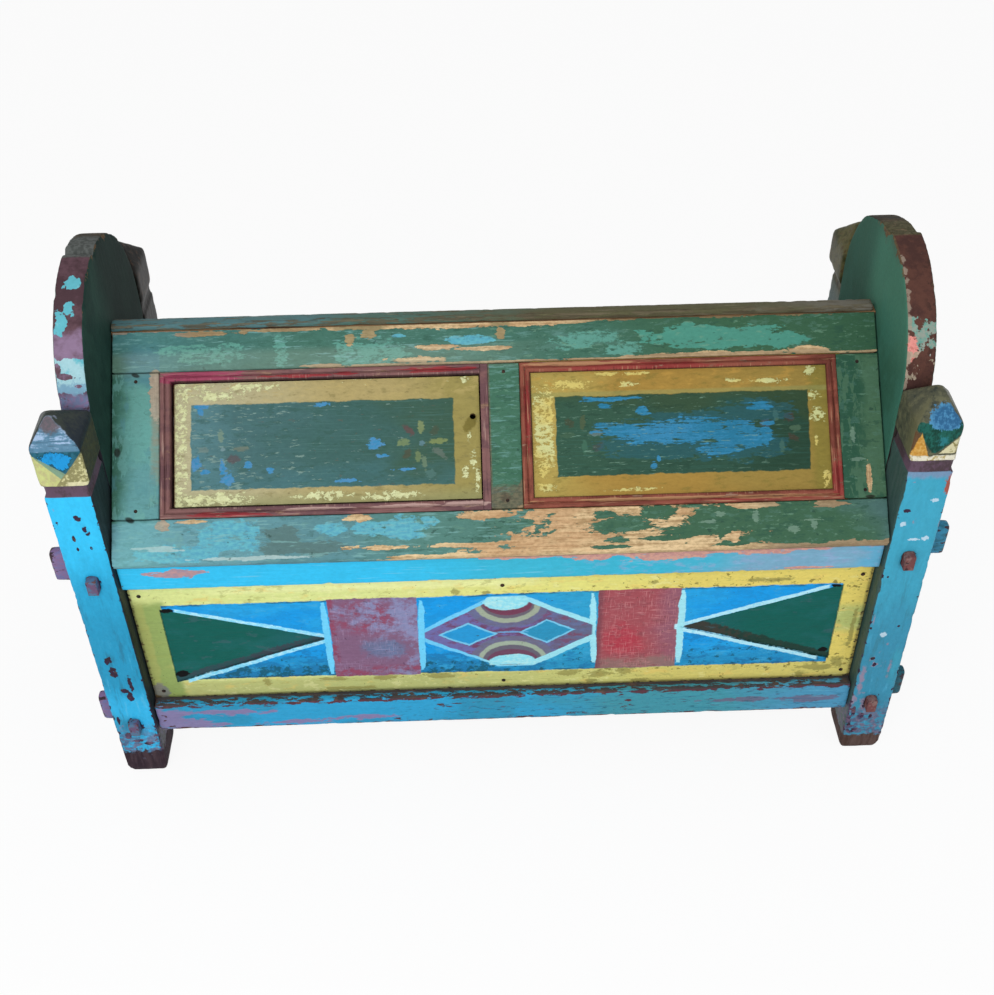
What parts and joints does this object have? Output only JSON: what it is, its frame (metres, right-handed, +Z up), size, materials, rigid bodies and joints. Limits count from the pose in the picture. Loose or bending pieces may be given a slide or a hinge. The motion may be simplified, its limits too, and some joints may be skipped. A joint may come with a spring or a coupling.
{
  "type": "damchiya chest",
  "caption": "Painted wooden quilt chest: corner posts, through-tenoned rails, half-round end boards and a ridged roof whose front slope holds a lifting door beside a fixed panel.",
  "frame": {"origin": "middle of the footprint, on the floor", "axes": "+X along the length to the viewer's right, front faces -Y, +Z up"},
  "size_m": [1.476, 0.604, 0.9397],
  "materials": {
    "blue_paint": "chipped sky blue paint over older dark paint on hardwood",
    "worn_blue_paint": "thin worn blue paint on hardwood",
    "ear_paint": "green faces and maroon rims, chipped to turquoise and wood",
    "front_pattern_paint": "painted geometric pattern in blue, green, red and yellow",
    "panel_paint": "dark green field with worn blue and ochre border",
    "red_paint": "maroon paint on beaded strips",
    "green_paint": "layered green and turquoise paint, worn to orange-brown wood",
    "bare_wood": "aged bare hardwood",
    "forged_iron": "dark forged nail heads"
  },
  "bodies": {
    "chest": {"door_closing_strip": "red_paint", "door_moulding_bottom": "red_paint", "door_moulding_left": "red_paint", "door_moulding_top": "red_paint", "door_stop_lower_batten": "bare_wood", "door_stop_upper_batten": "bare_wood", "fixed_moulding_bottom": "red_paint", "fixed_moulding_left": "red_paint", "fixed_moulding_right": "red_paint", "fixed_moulding_top": "red_paint", "fixed_panel": "panel_paint", "floor_board_1": "bare_wood", "floor_board_2": "bare_wood", "floor_board_3": "bare_wood", "floor_board_4": "bare_wood", "floor_board_5": "bare_wood", "floor_board_6": "bare_wood", "front_floor_ledger": "bare_wood", "front_left_post": "blue_paint", "front_lower_rail": "blue_paint", "front_panel": "front_pattern_paint", "front_panel_nails": "forged_iron", "front_right_post": "blue_paint", "front_upper_rail": "blue_paint", "left_ear_board": "ear_paint", "left_lower_side_rail": "worn_blue_paint", "left_side_panel": "worn_blue_paint", "left_upper_side_rail": "worn_blue_paint", "rear_floor_ledger": "bare_wood", "rear_left_post": "blue_paint", "rear_lower_rail": "worn_blue_paint", "rear_panel_lower_board": "bare_wood", "rear_panel_nails": "forged_iron", "rear_panel_upper_board": "bare_wood", "rear_right_post": "blue_paint", "rear_slope_board_1": "bare_wood", "rear_slope_board_2": "bare_wood", "rear_slope_board_3": "bare_wood", "rear_slope_board_4": "bare_wood", "rear_slope_board_5": "bare_wood", "rear_slope_board_6": "bare_wood", "rear_upper_rail": "worn_blue_paint", "ridge_beam": "bare_wood", "ridge_cap": "green_paint", "right_ear_board": "ear_paint", "right_lower_side_rail": "worn_blue_paint", "right_side_panel": "worn_blue_paint", "right_upper_side_rail": "worn_blue_paint", "slope_bottom_rail": "green_paint", "slope_left_stile": "green_paint", "slope_mullion": "green_paint", "slope_nails": "forged_iron", "slope_right_stile": "green_paint", "slope_top_rail": "green_paint", "tenon_pegs": "blue_paint"},
    "door": {"door_panel": "panel_paint", "door_pivot_pins": "bare_wood"}
  },
  "joints": [
    {"name": "door_lift", "type": "hinge", "parent": "chest", "child": "door", "pos_m": [-0.51765, -0.28845, 0.52529], "axis": [0, -0.7463, -0.6657], "range_deg": [0, 98]}
  ]
}
